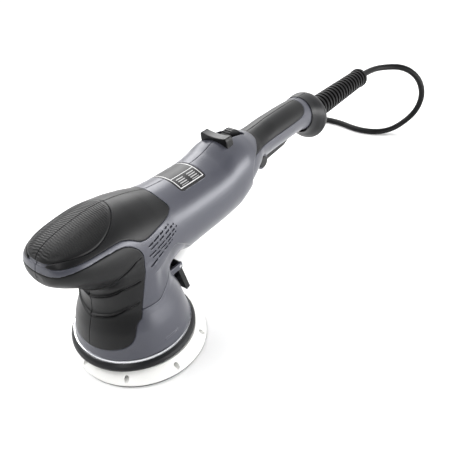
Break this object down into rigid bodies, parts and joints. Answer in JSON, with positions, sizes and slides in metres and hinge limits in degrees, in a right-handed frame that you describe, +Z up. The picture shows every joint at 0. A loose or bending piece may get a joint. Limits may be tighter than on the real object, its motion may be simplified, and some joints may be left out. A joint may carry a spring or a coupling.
{
  "type": "dual action polisher",
  "caption": "Corded dual action polisher: a round backing plate on an eccentric under a bevel gear head, with a palm nose, brushless motor, paddle handle and ribbed strain relief.",
  "frame": {"origin": "on the spindle axis, level with the underside of the hook face, which is the surface that the tool stands on", "axes": "+X runs from the palm nose to the handle, +Z up along the spindle axis, +Y to the side opposite the lock button; the housing seam is the plane y = 0"},
  "size_m": [0.6456, 0.245, 0.1583],
  "materials": {
    "housing_grey": "smooth satin",
    "grip_rubber": "soft matt",
    "pad_rubber": "fine ribbed",
    "dark_plastic": "fine grain",
    "black_plastic": "smooth",
    "silver_ring": "bright",
    "label_film": "printed film",
    "plate_white": "smooth",
    "hook_fabric": "hook and loop",
    "steel": "turned",
    "black_steel": "black oxide",
    "gear_steel": "cut",
    "bearing_steel": "ground",
    "cast_alloy": "die cast",
    "counterweight_iron": "machined",
    "laminations": "stacked",
    "magnet": "plain",
    "copper": "enamelled wire",
    "board_green": "printed circuit",
    "fan_plastic": "moulded",
    "spring_steel": "wire",
    "switch_plastic": "moulded",
    "filter_blue": "potted",
    "cord_rubber": "smooth",
    "pin_nickel": "plated"
  },
  "bodies": {
    "tool": {"gear_case": "cast_alloy", "gear_case_cap": "cast_alloy", "gear_case_screws": "black_steel", "spindle_bearing_lower": "bearing_steel", "spindle_bearing_upper": "bearing_steel", "motor_bearing_front": "bearing_steel", "motor_bearing_rear": "bearing_steel", "stator_core": "laminations", "stator_windings": "copper", "motor_rear_support": "dark_plastic", "rotor_sensor_board": "board_green", "palm_pad": "pad_rubber", "nose_cap": "grip_rubber", "neck_grip": "grip_rubber", "rating_label": "label_film", "housing_left": "housing_grey", "housing_right": "housing_grey", "bell_housing": "housing_grey", "housing_screws": "black_steel", "lock_lever_pin": "steel", "trim_ring": "silver_ring", "skirt": "dark_plastic", "handle_grip": "grip_rubber", "handle_frame_left": "housing_grey", "handle_frame_right": "housing_grey", "collar": "dark_plastic", "trigger_pin": "steel", "trigger_spring": "spring_steel", "switch": "switch_plastic", "button_bezel": "housing_grey", "dial_guard": "black_plastic", "dial_potentiometer": "switch_plastic", "motor_controller": "cast_alloy", "emi_filter": "filter_blue", "cord_clamp": "dark_plastic", "strain_relief": "cord_rubber", "cord": "cord_rubber", "cord_coil": "cord_rubber", "plug": "black_plastic", "plug_pins": "pin_nickel"},
    "spindle_group": {"spindle": "steel", "crown_gear": "gear_steel", "counterweight": "counterweight_iron", "eccentric_bearings": "bearing_steel"},
    "plate_group": {"hook_face": "hook_fabric", "backing_plate": "plate_white", "plate_washer": "steel", "plate_screw": "black_steel", "output_spindle": "steel", "spindle_clip": "spring_steel"},
    "rotor": {"rotor_shaft": "steel", "pinion": "gear_steel", "rotor_core": "laminations", "rotor_magnets": "magnet", "fan": "fan_plastic"},
    "trigger_body": {"trigger": "black_plastic"},
    "button_body": {"lock_button": "black_plastic"},
    "dial_body": {"speed_dial": "black_plastic"},
    "lever_body": {"lock_lever": "black_plastic"}
  },
  "joints": [
    {"name": "spindle_turn", "type": "hinge", "parent": "tool", "child": "spindle_group", "pos_m": [0, 0, 0.06], "axis": [0, 0, 1], "continuous": true},
    {"name": "rotor_turn", "type": "hinge", "parent": "tool", "child": "rotor", "pos_m": [0.08, 0, 0.105], "axis": [1, 0, 0], "continuous": true},
    {"name": "plate_turn", "type": "hinge", "parent": "spindle_group", "child": "plate_group", "pos_m": [0.00185, -0.00571, 0.03], "axis": [0, 0, 1], "continuous": true},
    {"name": "trigger_squeeze", "type": "hinge", "parent": "tool", "child": "trigger_body", "pos_m": [0.258, 0, 0.105], "axis": [0, 1, 0], "range_deg": [0, 3.2], "stiffness_Nm_per_rad": 1.2, "springref_deg": -3.44, "deforming": ["trigger_spring"]},
    {"name": "lock_button_push", "type": "slide", "parent": "tool", "child": "button_body", "axis": [0, 1, 0], "range_m": [0, 0.0025], "stiffness_N_per_m": 400, "springref_m": -0.001},
    {"name": "speed_dial_turn", "type": "hinge", "parent": "tool", "child": "dial_body", "pos_m": [0.16, 0, 0.1385], "axis": [0, 1, 0], "range_deg": [0, 280]},
    {"name": "spindle_lock_press", "type": "hinge", "parent": "tool", "child": "lever_body", "pos_m": [0.048, 0, 0.062], "axis": [0, 1, 0], "range_deg": [0, 3.4], "stiffness_Nm_per_rad": 1, "springref_deg": -3.44}
  ],
  "couplings": [
    {"joint": "rotor_turn", "follows": "spindle_turn", "ratio": 3}
  ]
}
